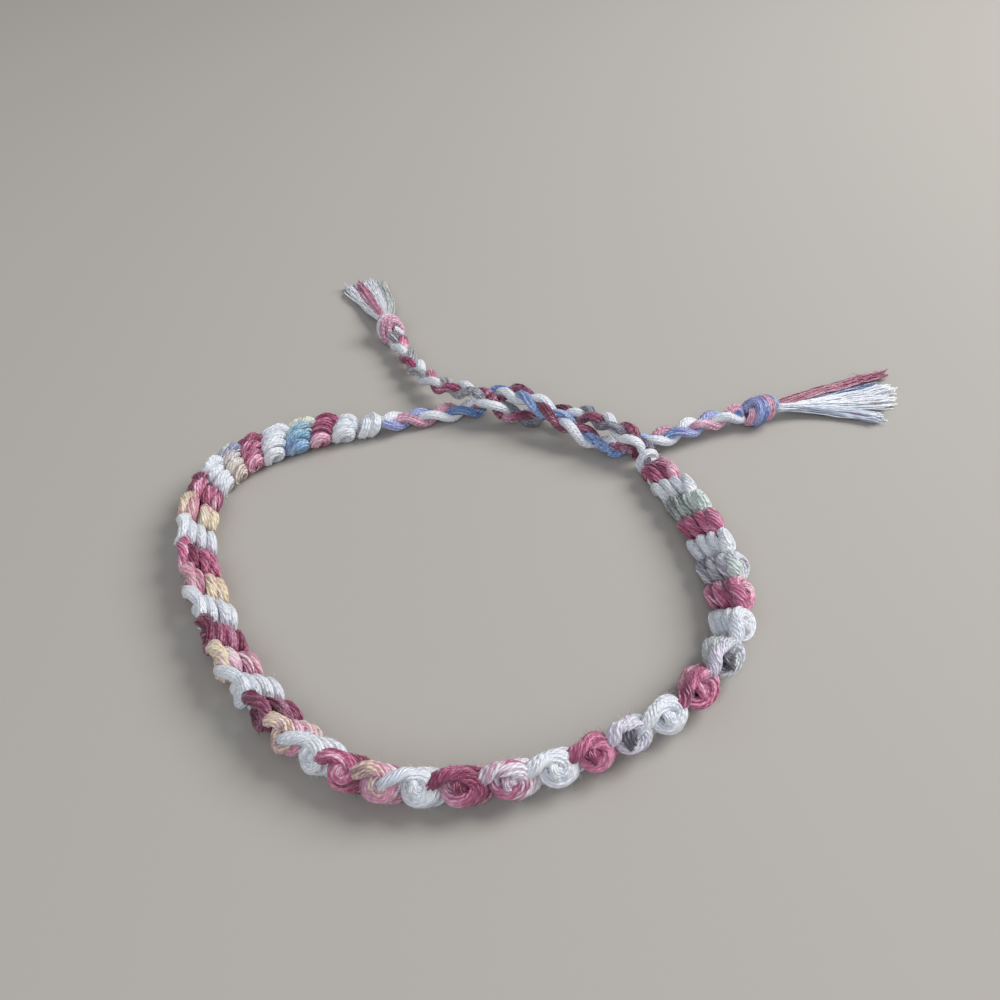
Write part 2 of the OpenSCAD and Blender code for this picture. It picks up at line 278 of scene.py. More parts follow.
class Piece:
    """The tubes of one piece, gathered for one mesh."""

    def __init__(self, name, slot, material, *nodes):
        self.name, self.slot, self.material, self.nodes = name, slot, material, nodes
        self.drift, self.core_fill = DRIFT, CORE_FILL
        if "white" in name:
            self.drift, self.core_fill = WHITE_DRIFT, WHITE_CORE_FILL
        self.verts, self.faces, self.uvs = [], [], []
        self.tones, self.places = [], []
        self.count = 0

    def tubes(self, centres, n_dir, b_dir, radius, tone, place, run, sides=STRAND_SIDES, plies=1):
        """Adds tubes of one length. centres is (tubes, points, 3), the two directions the same or
        (points, 3), radius a number or (tubes, points), tone (tubes), place and run (points), and
        plies is how many strands the tube stands for."""
        k, n, _ = centres.shape
        angle = np.arange(sides) * math.tau / sides
        radius = np.broadcast_to(radius, (k, n))[:, :, None, None]
        n_dir = np.broadcast_to(n_dir, centres.shape)[:, :, None, :]
        b_dir = np.broadcast_to(b_dir, centres.shape)[:, :, None, :]
        ring = n_dir * np.cos(angle)[:, None] + b_dir * np.sin(angle)[:, None]
        verts = centres[:, :, None, :] + radius * ring
        self.verts.append(verts.reshape(-1, 3) * MM)
        t, i, j = np.meshgrid(np.arange(k), np.arange(n - 1), np.arange(sides), indexing="ij")
        a = self.count + (t * n + i) * sides + j
        b = self.count + (t * n + i) * sides + (j + 1) % sides
        self.faces.append(np.stack([a, b, b + sides, a + sides], -1).reshape(-1, 4))
        near, far = run[i], run[i + 1]
        u, u2 = j * plies / sides, (j + 1) * plies / sides
        self.uvs.append(np.stack([u, near, u2, near, u2, far, u, far], -1).reshape(-1, 2))
        first = self.count + np.arange(k)[:, None] * n * sides + np.arange(sides)[None, ::-1]
        for cap in (first, first[:, ::-1] + (n - 1) * sides):
            self.faces.append(cap)
            self.uvs.append(np.zeros((cap.size, 2)))
        self.tones.append(np.repeat(tone, n * sides))
        self.places.append(np.tile(np.repeat(place, sides), k))
        self.count += k * n * sides

    def fibres(self, centres, out, tone, place, count, length=FIBRE_L):
        """Adds stray fibres that stand off from a bundle's strands."""
        k, n, _ = centres.shape
        strand = rng.integers(0, k, count)
        point = rng.integers(1, n - 1, count)
        outer = np.argmax(np.sum(centres * out, axis=2), axis=0)
        strand = np.where(rng.uniform(0, 1, count) < OUTER_FIBRES, outer[point], strand)
        start = centres[strand, point]
        along = unit(centres[strand, point + 1] - centres[strand, point - 1])
        lift = unit(out[point] + rng.normal(0, FIBRE_SPLAY, (count, 3)))
        along = along * rng.choice([-1.0, 1.0], (count, 1))
        size = length * rng.uniform(*FIBRE_L_SPAN, (count, 1))
        share = np.linspace(0, 1, FIBRE_POINTS)[None, :, None]
        reach = along[:, None] * share * rng.uniform(*FIBRE_REACH, (count, 1, 1))
        lifted = lift[:, None] * share ** rng.uniform(*FIBRE_BEND, (count, 1, 1))
        points = start[:, None] + size[:, None] * (reach + FIBRE_LIFT * lifted)
        points[:, :, 2] = np.maximum(points[:, :, 2], FIBRE_LOW)
        side = unit(np.cross(along, lift))
        taper = FIBRE_R * np.linspace(1, FIBRE_TIP, FIBRE_POINTS)
        self.tubes(
            points, side[:, None], unit(np.cross(side, along + lift))[:, None], taper,
            tone[strand], np.full(FIBRE_POINTS, float(np.mean(place))),
            np.zeros(FIBRE_POINTS), sides=FIBRE_SIDES,
        )

    def mesh(self):
        verts = np.vstack(self.verts)
        corners = np.concatenate([f.ravel() for f in self.faces])
        sizes = np.concatenate([np.full(len(f), f.shape[1]) for f in self.faces])
        mesh = bpy.data.meshes.new(self.name)
        mesh.vertices.add(len(verts))
        mesh.vertices.foreach_set("co", verts.ravel())
        mesh.loops.add(len(corners))
        mesh.loops.foreach_set("vertex_index", corners.astype(np.int32))
        mesh.polygons.add(len(sizes))
        starts = np.concatenate([[0], np.cumsum(sizes)[:-1]])
        mesh.polygons.foreach_set("loop_start", starts.astype(np.int32))
        mesh.polygons.foreach_set("use_smooth", sizes == 4)
        mesh.update(calc_edges=True)
        uv = mesh.uv_layers.new(name="thread")
        uv.data.foreach_set("uv", np.vstack(self.uvs).ravel().astype(np.float32))
        for name, values in (("tone", self.tones), ("place", self.places)):
            layer = mesh.attributes.new(name, "FLOAT", "POINT")
            layer.data.foreach_set("value", np.concatenate(values).astype(np.float32))
        mesh.materials.append(self.material)
        mesh.validate()
        return mesh

    def build(self):
        """Makes the piece's object, and hands it to the frame."""
        made = add_object(self.name, self.mesh())
        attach(made, "root")
        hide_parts(*self.nodes)


def build_all(pieces):
    for piece in pieces.values():
        if piece.count:
            piece.build()


def carried_frames(points, start, wanted=None, weight=None):
    """Directions across a path. Where weight is set they turn to the wanted direction, and
    elsewhere they are carried along without twist."""
    ahead = unit(np.gradient(points, axis=0))
    n_dir = np.empty_like(points)
    now = np.asarray(start, float)
    for i, t in enumerate(ahead):
        if weight is not None and weight[i] > 0:
            now = now * (1 - weight[i]) + wanted[i] * weight[i]
        now = now - t * now.dot(t)
        now /= np.linalg.norm(now)
        n_dir[i] = now
    return n_dir, np.cross(ahead, n_dir)


def wander(tubes, run, size, length):
    """Slow sideways drift of each tube along its run."""
    phase = rng.uniform(0, math.tau, (2, tubes, 1))
    stretch = rng.uniform(*DRIFT_SPAN, (2, tubes, 1))
    turns = math.tau * run[None, :] / length
    slow = turns * stretch[0] + phase[0]
    quick = QUICK_DRIFT * turns * stretch[1] + phase[1]
    return size * (np.sin(slow) + QUICK_SHARE * np.sin(quick))


def bundle(piece, points, n_dir, b_dir, across_n, across_b, place, twist_l=PLAIN_TWIST_L,
           strand_r=STRAND_R, fuzz=FUZZ):
    """Strands laid round a path, as a string is made, with a core that fills its inside. across_n
    and across_b are the reach of the strands' middles along the two directions."""
    run = run_along(points)
    angle = np.arange(STRANDS)[:, None] * math.tau / STRANDS + rng.uniform(0, math.tau)
    angle = angle + run[None, :] * math.tau / twist_l
    across_n = np.broadcast_to(across_n, run.shape)
    across_b = np.broadcast_to(across_b, run.shape)
    n_off = np.cos(angle) * across_n + wander(STRANDS, run, piece.drift, DRIFT_L)
    b_off = np.sin(angle) * across_b + wander(STRANDS, run, piece.drift, DRIFT_L)
    centres = points[None] + n_off[..., None] * n_dir[None] + b_off[..., None] * b_dir[None]
    centres[..., 2] = np.maximum(centres[..., 2], strand_r)
    tone = rng.uniform(0, 1, STRANDS)
    place = np.broadcast_to(place, run.shape)
    piece.tubes(centres, n_dir, b_dir, strand_r, tone, place, run)
    fill = 1 + piece.core_fill * strand_r / across_n
    core_n, core_b = (across_n * fill)[:, None], (across_b * fill)[:, None]
    core = points[None].copy()
    core[..., 2] = np.maximum(core[..., 2], np.maximum(core_n, core_b)[:, 0])
    piece.tubes(
        core, n_dir * core_n, b_dir * core_b, 1.0, tone[:1], place, run, sides=CORE_SIDES,
        plies=STRANDS,
    )
    if fuzz:
        piece.fibres(centres, n_dir, tone, place, int(run[-1] * fuzz))


# Rows of knots. Each row is a roll across the band, of four turns of its string. Places on it are
# given as the row with the length along it, and the distances to the edge and the face
TURNS = 4
POINTS_PER_TURN = 24
STEP = 0.48
# Where the string joins its roll and leaves it, in turns, and where a turn starts
FIRST_TURN = 0.24
LAST_TURN = TURNS - 0.42
TURN_START = 0.25
# Reach of the strands in a turn, towards the face and along the roll
COIL_N = 0.45
END_COIL_N = 0.60
COIL_B = 0.38
# How much more it is along the roll, where turns are drawn together and at the band's sides
MERGED_B = 0.08
SIDE_B = 0.06
# Turns at which the deep first end of a roll stops and its deep last end starts, and over how many
FIRST_END = 0.7
LAST_END = 2.8
END_TURNS = 0.5
# Width of a turn, and what the roll leaves free at the band's edges
TURN_W = 1.05
OUTER_RESERVE = 0.62
SIDE_RESERVE = 0.20
INNER_RESERVE = 0.30
# How far a roll reaches past its share of the band's length
ROLL_OVERLAP = 0.10
# Sizes of the turns, and how much the two turns of a knot are drawn together: by colour, by chance
# and in millimetres
TURN_SIZE = (0.98, 1.0, 0.97, 0.84)
MERGE = {"white": 0.2, "rose": 1.0, "blend": 1.0}
MERGE_SPAN = (-0.25, 0.25)
MERGE_SHIFT = 0.11
# Shares of a turn in which the string steps to the next one: the start and the length
STEP_START = 0.55
STEP_SHARE = 0.42
TURN_SLANT = 0.10
# Spans of chance: thickness of a roll, bareness of the string's way to it, and width of its fan
SWELL_SPAN = (0.97, 1.03)
SHOW_SPAN = (0, 0.35)
FAN_SPAN = (0.85, 1.1)
# Unevenness of the turns: their place, their size and their slant
JITTER = [[0.05], [0.04], [0.11]]
ROSE_UNEVEN = 1.6
# Rows at which the bracelet starts to turn, from its left side to the front and on to its right
# side, how many rows that takes, and how far the string's way is hidden at the front
FRONT_FROM = 11
FRONT_TO = 29
TURN_ROWS = 3
HIDDEN_AT_FRONT = {"white": 0.1, "rose": 0.35, "blend": 0.55}
# Length in which the strands go once round their string
TWIST_L = {"white": (22, 45), "rose": (7, 12), "blend": (8, 13)}
# Rows whose string is seen all the way from the hole of the row before, and its narrower fan
BARE_ROWS = (12, 15, 18, 21)
BARE_FAN = 0.85
# Rows whose string is dark in the hole at the outer edge
DARK_ROWS = (26, 29)
DARK_PLACE = 95
# Filler inside a roll: its thickness, its length along the band, and its distance from the edges
FILLER_T = 1.35
FILLER_L = 1.9
FILLER_INSET = 1.0
FILLER_RINGS = 12
FILLER_END = 0.01
FILLER_TONE = 0.5

# Way of a row's string from the row before to its own roll, at the front, at the sides and where it
# is bare: distance along the band from the row's middle, distance in from the outer edge, height,
# and share of the roll's top added to it
FRONT_LEAD = [
    (-3.9, 2.4, 0, 0), (-3.5, 1.95, 0, 0), (-3.0, 1.45, 0.08, 0), (-2.4, 1.06, 0.30, 0),
    (-1.7, 0.76, 0.68, 0), (-0.92, 0.74, 0, 1),
]
SIDE_LEAD = [
    (-3.9, 2.6, 0, 0), (-3.3, 2.3, 0.05, 0), (-2.7, 1.85, 0.15, 0), (-2.1, 1.35, 0.45, 0),
    (-1.5, 0.98, 0.85, 0), (-0.9, 0.80, 0, 1),
]
BARE_LEAD = [
    (-3.7, 1.7, -0.1, 0), (-3.2, 1.0, -0.1, 0), (-2.8, 0.48, 0, 0), (-2.25, 0.36, 0.36, 0),
    (-1.6, 0.46, 0.80, 0), (-0.95, 0.74, 0, 1),
]
LEAD_START = (-3.95, 0.2, 0)
# Height of the string as it joins the roll, as a share of the first turn's
TOP_SHARE = 1.03
# How much thicker the string is on that way where it isn't bare
SWOLLEN = 0.16
# Direction in which the string faces out on that way: along the band, across it and up
LEAD_OUT = [
    (-1, 0, -1), (-1, 0, -1), (-0.8, 0.4, -0.5), (-0.5, 1, -0.1), (-0.4, 1, 0.2),
    (-0.3, 0.8, 0.6), (-0.2, 0.3, 1),
]
# Way of the string from its roll into the row after: distance along the band, distance in from the
# inner edge, and height
TAIL = [(1.9, 1.1, -0.60), (2.7, 1.15, -0.40), (3.4, 1.2, -0.1), (3.95, 1.5, 0)]
TAIL_END = (3.95, -0.2, 0)
TAIL_REACH = [(0.36, 0.36), (0.36, 0.36), (0.38, 0.38), (0.40, 0.40), (0.40, 0.40)]
# Arch of string in the hole at the outer edge: distance along the band, distance in from the
# arch's tip, and height
ARCH = [
    (-0.15, 0.9, -0.95), (-0.15, 0.2, -0.5), (-0.1, 0, 0), (-0.05, 0.2, 0.5), (-0.05, 0.9, 0.95),
]
ARCH_N = 0.20
ARCH_B = 0.30
ARCH_INSET = 0.82
DARK_ARCH_B = 0.60
DARK_ARCH_INSET = 0.66


def hidden_share(row):
    """How far the way of a row's string from the row before is hidden: all of it at the band's
    sides, and less at the front, where the rows are seen from their ends."""
    if row in BARE_ROWS:
        return 0.0
    at_front = HIDDEN_AT_FRONT[COLOURS[row % 3]]
    left = 1 - smooth((row - FRONT_FROM) / TURN_ROWS)
    right = smooth((row - FRONT_TO) / TURN_ROWS)
    return at_front + (1 - at_front) * float(left + right)


def on_row(row, points):
    """Points whose distances along the band, from the row's middle, become rows."""
    points = np.asarray(points, float)
    return np.column_stack([row + 0.5 + points[:, 0] / ROW_PITCH, points[:, 1:]])


def turn_places(w, merge, reserve):
    """Places of a row's turns across the band. merge draws the two turns of a knot together."""
    outer = w / 2 - reserve - TURN_W / 2
    inner = TURN_W / 2 + INNER_RESERVE - w / 2
    return np.linspace(outer, inner, TURNS) + np.array([-1, 1, -1, 1]) * merge * MERGE_SHIFT


def roll_local(row, turns, along_r, face_r, places, jitter):
    """Points of a coil on a row. A turn starts on the side towards the row before, passes over
    the face, and steps to its neighbour's place under the band."""
    phi = math.tau * (turns - TURN_START)
    whole = np.floor(turns)
    stair = whole + smooth((turns - whole - STEP_START) / STEP_SHARE)
    steps = np.arange(TURNS)
    across = np.interp(stair, steps, places + jitter[0])
    grown = np.interp(stair, steps, TURN_SIZE + jitter[1])
    slant = TURN_SLANT * np.sin(phi) + np.interp(stair, steps, jitter[2]) * np.cos(phi)
    along = np.sin(phi) * along_r * grown / ROW_PITCH
    height = np.cos(phi) * face_r * grown
    return np.column_stack([row + 0.5 + along, across - slant, height])


def blended(first, second, share):
    return first * (1 - share) + second * share


def lead_points(table, edge, top):
    inner = [(along, edge - inset, height + share * top) for along, inset, height, share in table]
    return np.array([LEAD_START, *inner])


def row_lead(row, edge, top, side, show):
    """Way of a row's string from the row before to its own roll."""
    front, at_side, bare = (lead_points(v, edge, top) for v in (FRONT_LEAD, SIDE_LEAD, BARE_LEAD))
    return on_row(row, blended(blended(front, at_side, side), bare, show))


def lead_reach(swollen, fan):
    """Reach of the strands on the way to the roll, away from the band and across that."""
    return [
        (0.40, 0.40), (0.40, 0.40), (0.38, 0.38), (0.36 + swollen / 2, 0.40 * fan),
        (0.34 + swollen, 0.54 * fan), (0.34 + swollen, 0.74 * fan), (0.48, 0.62),
    ]


def row_tail(row, edge):
    """Way of a row's string from its roll into the row after."""
    return on_row(row, np.vstack([np.array(TAIL) - [0, edge, 0], TAIL_END]))


def coil_depth(row, turns):
    """Reach of a roll's strands towards the face, which is larger at the ends of most rolls."""
    is_end = smooth((turns - LAST_END) / END_TURNS)
    if row not in DARK_ROWS:
        is_end = is_end + 1 - smooth((turns - FIRST_END) / END_TURNS)
    return blended(COIL_N, END_COIL_N, is_end)


def joined(row, lead, coil, tail, reach):
    """The parts of a row's string as one path, with the direction away from the roll's middle, how
    firmly the string keeps to that direction, and the bundle's reach along it and across it."""
    lead_axis = lead - np.array(LEAD_OUT) / [ROW_PITCH, 1, 1]
    coil_axis = np.column_stack([np.full(len(coil), row + 0.5), coil[:, 1], np.zeros(len(coil))])
    low, high = (NEAR, -np.inf, -np.inf), (KNOT_ROWS - NEAR, np.inf, np.inf)
    points = band_xyz(np.clip(np.vstack([lead, coil, tail]), low, high))
    wanted = points - band_xyz(np.clip(np.vstack([lead_axis, coil_axis, tail]), low, high))
    weight = np.repeat([1.0, 1.0, 0.0], [len(lead), len(coil), len(tail)])
    wanted[weight == 0] = UP
    made, _ = even(np.column_stack([points, unit(wanted), weight, reach]), STEP)
    return made[:, :3], unit(made[:, 3:6]), np.clip(made[:, 6], 0, 1), made[:, 7], made[:, 8]


def row_path(row):
    """Path of a row's string: out of the roll before, round its own roll, and into the next."""
    colour = COLOURS[row % 3]
    is_bare = row in BARE_ROWS
    w, t = (float(v[0]) for v in band_size(row + 0.5))
    side = hidden_share(row)
    turns = np.linspace(FIRST_TURN, LAST_TURN, POINTS_PER_TURN * TURNS)
    coil_n = coil_depth(row, turns)
    swell = rng.uniform(*SWELL_SPAN)
    along_r = (ROW_PITCH / 2 + ROLL_OVERLAP - coil_n - STRAND_R) * swell
    face_r = (t / 2 - coil_n - STRAND_R) * swell
    merge = MERGE[colour] + rng.uniform(*MERGE_SPAN)
    coil_b = COIL_B + MERGED_B * merge + SIDE_B * side
    show = 1.0 if is_bare else rng.uniform(*SHOW_SPAN) * (1 - side)
    fan = rng.uniform(*FAN_SPAN) * (BARE_FAN if is_bare else 1.0)
    jitter = rng.normal(0, 1, (3, TURNS)) * JITTER
    if colour == "rose":
        jitter = jitter * blended(ROSE_UNEVEN, 1, side)
    lead = row_lead(row, w / 2, face_r[0] * TOP_SHARE, side, show)
    places = turn_places(w, merge, blended(OUTER_RESERVE, SIDE_RESERVE, side))
    coil = roll_local(row, turns, along_r, face_r, places, jitter)
    coil_reach = np.column_stack([coil_n, np.full(len(coil), coil_b)])
    reach = np.vstack([lead_reach(SWOLLEN * (1 - show), fan), coil_reach, TAIL_REACH])
    return joined(row, lead, coil, row_tail(row, w / 2), reach)


def add_arch(piece, row, edge):
    """The row's string in the hole at its outer edge."""
    is_dark = row in DARK_ROWS
    tip = edge - (DARK_ARCH_INSET if is_dark else ARCH_INSET)
    local = on_row(row, np.array(ARCH) * [1, -1, 1] + [0, tip, 0])
    points, _ = even(band_xyz(local), STEP / 2)
    out = band_frame(row + 0.5)[1]
    wanted = np.tile(out, (len(points), 1))
    n_dir, b_dir = carried_frames(points, out[0], wanted, np.ones(len(points)))
    reach_b = DARK_ARCH_B if is_dark else ARCH_B
    place = DARK_PLACE if is_dark else row + 0.5
    bundle(piece, points, n_dir, b_dir, ARCH_N, reach_b, place, fuzz=0)


def add_filler(piece, row, edge):
    """A filler inside the row's roll."""
    turn = np.linspace(0, math.pi, FILLER_RINGS)
    across = np.cos(turn) * (edge - FILLER_INSET)
    middle = np.full(FILLER_RINGS, row + 0.5)
    points = band_xyz(np.column_stack([middle, across, np.zeros(FILLER_RINGS)]))
    n_dir, b_dir = carried_frames(points, UP)
    taper = np.sqrt(np.sin(turn) + FILLER_END)
    piece.tubes(
        points[None], n_dir * FILLER_T / 2, b_dir * FILLER_L / 2, taper[None],
        np.array([FILLER_TONE]), middle, across, sides=CORE_SIDES, plies=STRANDS,
    )


def make_band(materials):
    pieces = {
        c: Piece(f"band_{c}_rows", "knotted_threads", materials[c], "knotted_band") for c in COLOURS
    }
    for row in range(KNOT_ROWS):
        points, wanted, weight, across_n, across_b = row_path(row)
        n_dir, b_dir = carried_frames(points, wanted[0], wanted, weight)
        colour = COLOURS[row % 3]
        twist_l = rng.choice([-1, 1]) * rng.uniform(*TWIST_L[colour])
        piece = pieces[colour]
        bundle(piece, points, n_dir, b_dir, across_n, across_b, row + 0.5, twist_l)
        edge = float(band_size(row + 0.5)[0][0]) / 2
        add_arch(piece, row, edge)
        add_filler(piece, row, edge)
    build_all(pieces)


# Ties
def band_end(row):
    ring = ring_at(row)[0]
    return np.array([ring[0] * BAND_L, ring[1] * BAND_L, END_KNOT_D / 2])


def bend_at(start, leave, arrive, length, share):
    share = np.atleast_1d(share)[:, None]
    return start + length * (leave * (share - share**2 / 2) + arrive * share**2 / 2)


start_ahead = -ring_ahead(0)[0]
start_from = band_end(0) + start_ahead * CLEARANCE
start_tip = start_from + start_ahead * START_KNOT_L
end_leave = ring_ahead(KNOT_ROWS)[0]
end_from = band_end(KNOT_ROWS) + end_leave * CLEARANCE
tip_angle = math.radians(END_KNOT_TIP)
end_arrive = end_leave * math.cos(tip_angle) + UP * math.sin(tip_angle)
end_tip = bend_at(end_from, end_leave, end_arrive, END_KNOT_L, 1)[0]


# The strings are laid closer than in the source, because strands yield to each other
TIGHT_SPREAD = 0.8
TIGHT_RISE = 0.72
# Length over which a tie's direction is measured
AHEAD_L = 1.0
# How far a tie's strings reach into the knots at its ends, and the strands in them
TIE_OVERLAP = 0.3
TIE_N = 0.43
TIE_B = 0.56
TIE_TWIST_L = 26
TIE_STRAND_R = 0.155


class Route:
    """Middle line of a tie, from its wound knot to its stopper knot."""

    def __init__(self, start, ahead, tie, tail, tail_l, end_angle):
        tie_points = np.array(tie) * [BAND_L, BAND_L, BRAID_T]
        tail_points = np.array(tail) * [tail_l, tail_l, STOP_KNOT_D]
        tail_points[:, :2] += tie_points[-1, :2]
        end = tail_points[-1] + heading(end_angle) * LEAD_L
        points = np.vstack([start, start + ahead * LEAD_L, tie_points, tail_points, end])
        self.fine = curve(points, ROUTE_FINENESS)
        self.runs = run_along(self.fine)
        self.length = self.runs[-1]
        self.end = self.fine[-1]
        self.heading = heading(end_angle)

    def at(self, s):
        return np.column_stack([np.interp(s, self.runs, self.fine[:, k]) for k in range(3)])

    def ahead(self, s):
        return unit(self.at(s + AHEAD_L / 2) - self.at(s - AHEAD_L / 2))

    def string(self, s, turn):
        """Middle of one string of the braid."""
        ahead = self.ahead(s)
        aside = unit(np.cross(UP, ahead))
        up = np.cross(ahead, aside)
        angle = (math.tau * s / BRAID_LAY + math.radians(turn))[:, None]
        swing, hop = BRAID_SPREAD * TIGHT_SPREAD, BRAID_RISE * TIGHT_RISE
        return self.at(s) + aside * swing * np.sin(angle) + up * hop * np.sin(2 * angle)


left_route = Route(start_tip, start_ahead, LEFT_TIE, LEFT_TAIL, LEFT_TAIL_L, LEFT_HEADING)
right_route = Route(end_tip, end_arrive, RIGHT_TIE, RIGHT_TAIL, RIGHT_TAIL_L, RIGHT_HEADING)
# Shares of a tie's length from its wound knot, with the places for its colours there
# The places where the ties cross give their rose painted shade
TIE_PLACES = {
    "left": [(0, 50), (0.22, 50), (0.38, 53), (0.6, 53), (0.72, 50), (1, 50)],
    "right": [(0, 70), (0.45, 71), (0.6, 75), (1, 76)],
}
FRINGE_PLACE = {"left": (60, 65), "right": (80, 80)}
TURN = {"white": 0, "rose": 120, "blend": 240}
STOPPER_STRINGS = {"left": ("blend", "rose", "blend"), "right": ("rose", "white", "rose")}
# Places of the stopper knots' colours; at 85 the rose is paled by a painted highlight
STOPPER_PLACE = {"left": 50, "right": 85}
SLOT = {"white": "white_thread", "rose": "rose_thread", "blend": "blended_thread"}


def make_tie(side, route, colour, material):
    piece = Piece(f"{side}_tie_{colour}_strands", SLOT[colour], material, f"{side}_tie_{colour}")
    s = np.arange(-TIE_OVERLAP, route.length + TIE_OVERLAP, STEP)
    points = route.string(s, TURN[colour])
    n_dir, b_dir = carried_frames(points, UP, np.tile(UP, (len(s), 1)), np.ones(len(s)))
    place = np.interp(s / route.length, *np.transpose(TIE_PLACES[side]))
    bundle(piece, points, n_dir, b_dir, TIE_N, TIE_B, place, TIE_TWIST_L, TIE_STRAND_R)
    piece.build()


# Wound knots
POINTS_PER_WRAP = 26
# How much thicker a knot is at its middle, as a share of its radius
BELLY = 0.14
# The string's ends are tucked in: over how many turns, and to which share of the radius
TUCK_TURNS = 0.3
TUCKED = 0.45
# Unevenness of the wraps, which changes once in about a turn
WRAP_DRIFT = 0.05


def wound(piece, start, leave, arrive, length, knot_d, turns, phase, slant, place, thick):
    """A string wound round a way that bends from one direction to another. thick is the reach of
    its strands away from that way and along it."""
    count = int(turns * POINTS_PER_WRAP)
    share = np.linspace(0, 1, count)
    margin = thick[1] + STRAND_R
    inner = margin / length
    at = bend_at(start, leave, arrive, length, inner + (1 - 2 * inner) * share)
    ahead = unit(leave * (1 - share[:, None]) + arrive * share[:, None])
    aside = unit(np.cross(UP, ahead))
    up = np.cross(ahead, aside)
    angle = (math.tau * (share * turns + phase))[:, None]
    out = aside * np.cos(angle) + up * np.sin(angle)
    belly = 1 - BELLY + BELLY * np.sin(math.pi * share)[:, None]
    tuck = smooth(share * turns / TUCK_TURNS) * smooth((1 - share) * turns / TUCK_TURNS)
    uneven = 1 + wander(1, share * turns, WRAP_DRIFT, 1)[0][:, None]
    tucked = TUCKED + (1 - TUCKED) * tuck[:, None]
    reach = (knot_d / 2 - thick[0] - STRAND_R) * belly * uneven * tucked
    points = at + out * reach + ahead * slant * np.sin(angle)
    n_dir, b_dir = carried_frames(points, out[0], out, np.ones(count))
    bundle(piece, points, n_dir, b_dir, thick[0], thick[1], place)


def make_knots(materials):
    start = Piece("start_knot_wraps", "white_thread", materials["white"], "start_knot")
    wound(
        start, start_from, start_ahead, start_ahead, START_KNOT_L, END_KNOT_D, turns=2.1, phase=0.1,
        slant=0.75, place=48, thick=(0.42, 0.58),
    )
    end = Piece("end_knot_wraps", "white_thread", materials["white"], "end_knot")
    wound(
        end, end_from, end_leave, end_arrive, END_KNOT_L, END_KNOT_D, turns=1.7, phase=0.3,
        slant=0.35, place=68, thick=(0.34, 0.42),
    )
    start.build()
    end.build()
    for side, route in (("left", left_route), ("right", right_route)):
        pieces = {
            c: Piece(f"{side}_stopper_{c}", SLOT[c], materials[c], f"{side}_tie_knot")
            for c in COLOURS
        }
        for i, colour in enumerate(STOPPER_STRINGS[side]):
            wound(
                pieces[colour], route.end, route.heading, route.heading, STOP_KNOT_L, STOP_KNOT_D,
                turns=1.45, phase=i / 3, slant=0.85, place=STOPPER_PLACE[side], thick=(0.38, 0.46),
            )
        build_all(pieces)


# Fringes
# How deep in the stopper knot the strands start, and the distance between their points
FRINGE_INSIDE = 0.6
FRINGE_STEP = 0.6
# Strands of a lock, and how many more it has where its tip is as wide as its root
LOCK_STRANDS = 30
TIP_STRANDS = 22
# Widening of a lock at its tip, and the share of its thickness that it loses there
TIP_WIDENING = 1.15
TIP_LOSS = 0.35
# Drift of the strands across the lock and up, each with the length that it takes
FRINGE_DRIFT = ((0.12, 14), (0.08, 11))
# How far strands come loose, and from which share of the lock's length on and over which share
LOOSE = 0.30
LOOSE_FROM = 0.5
LOOSE_OVER = 0.6
REACH_SPAN = (0.88, 1.02)
FRINGE_FUZZ = 1.5
FRINGE_FIBRE_L = 1.4


def lock_shape(lock_l, width, root_height, halfway, tip, tip_w, rise):
    """Shares of a lock's length, and how far its strands reach there along it, across and up."""
    strands = int(LOCK_STRANDS + TIP_STRANDS * tip_w)
    share = np.linspace(0, 1, int(lock_l / FRINGE_STEP))
    spin = rng.uniform(0, math.tau, (strands, 1))
    spread = np.sqrt(rng.uniform(0.05, 1, (strands, 1)))
    hump = 4 * share * (1 - share)
    w = LOCK_D * (1 + (tip_w * TIP_WIDENING - 1) * share) / 2 - STRAND_R / 2
    t = LOCK_D * (1 - TIP_LOSS * share) / 2 - STRAND_R / 2
    fall = (root_height - t) * (1 - share) ** 2
    across = width / 2 * (halfway * hump + tip * share * (2 * share - 1))
    height = t + STRAND_R + fall + rise * LOCK_D * hump
    drift = [wander(strands, share * lock_l, size, over) * share for size, over in FRINGE_DRIFT]
    loose = rng.normal(0, LOOSE, (2, strands, 1)) * smooth((share - LOOSE_FROM) / LOOSE_OVER)
    across = across + w * spread * np.cos(spin) + drift[0] + loose[0]
    height = height + t * spread * np.sin(spin) + drift[1] + np.abs(loose[1])
    along = lock_l * share * rng.uniform(*REACH_SPAN, (strands, 1))
    return share, along, across, np.maximum(height, FRINGE_R)


def make_fringe(side, route, length, width, locks, materials):
    ahead = route.heading
    aside = np.cross(UP, ahead)
    root = route.end + ahead * (STOP_KNOT_L - FRINGE_INSIDE)
    pieces = {
        c: Piece(f"{side}_fringe_{c}", "fringe_threads", materials[c], f"{side}_tie_fringe")
        for c in COLOURS
    }
    for length_share, *shape, colour in locks:
        lock_l = (length + FRINGE_INSIDE) * length_share
        share, along, across, height = lock_shape(lock_l, width, root[2], *shape)
        centres = (
            root * [1, 1, 0] + along[..., None] * ahead
            + across[..., None] * aside + height[..., None] * UP
        )
        run = share * lock_l * FRINGE_TWIST
        tone = rng.uniform(0, 1, len(centres))
        place = np.full(len(share), float(FRINGE_PLACE[side][0 if shape[0] > 0 else 1]))
        up = np.tile(UP, (len(share), 1))
        piece = pieces[colour]
        piece.tubes(centres, aside, UP, FRINGE_R, tone, place, run, sides=FRINGE_SIDES)
        piece.fibres(centres, up, tone, place, int(lock_l * FRINGE_FUZZ), FRINGE_FIBRE_L)
    build_all(pieces)


# Materials
THREAD_SHADER = {
    "Roughness": 0.36, "Specular IOR Level": 0.6, "Sheen Weight": 0.3, "Sheen Roughness": 0.45,
    "Subsurface Weight": 0.3, "Subsurface Scale": 0.0003, "Subsurface Radius": (1.0, 0.8, 0.8),
}
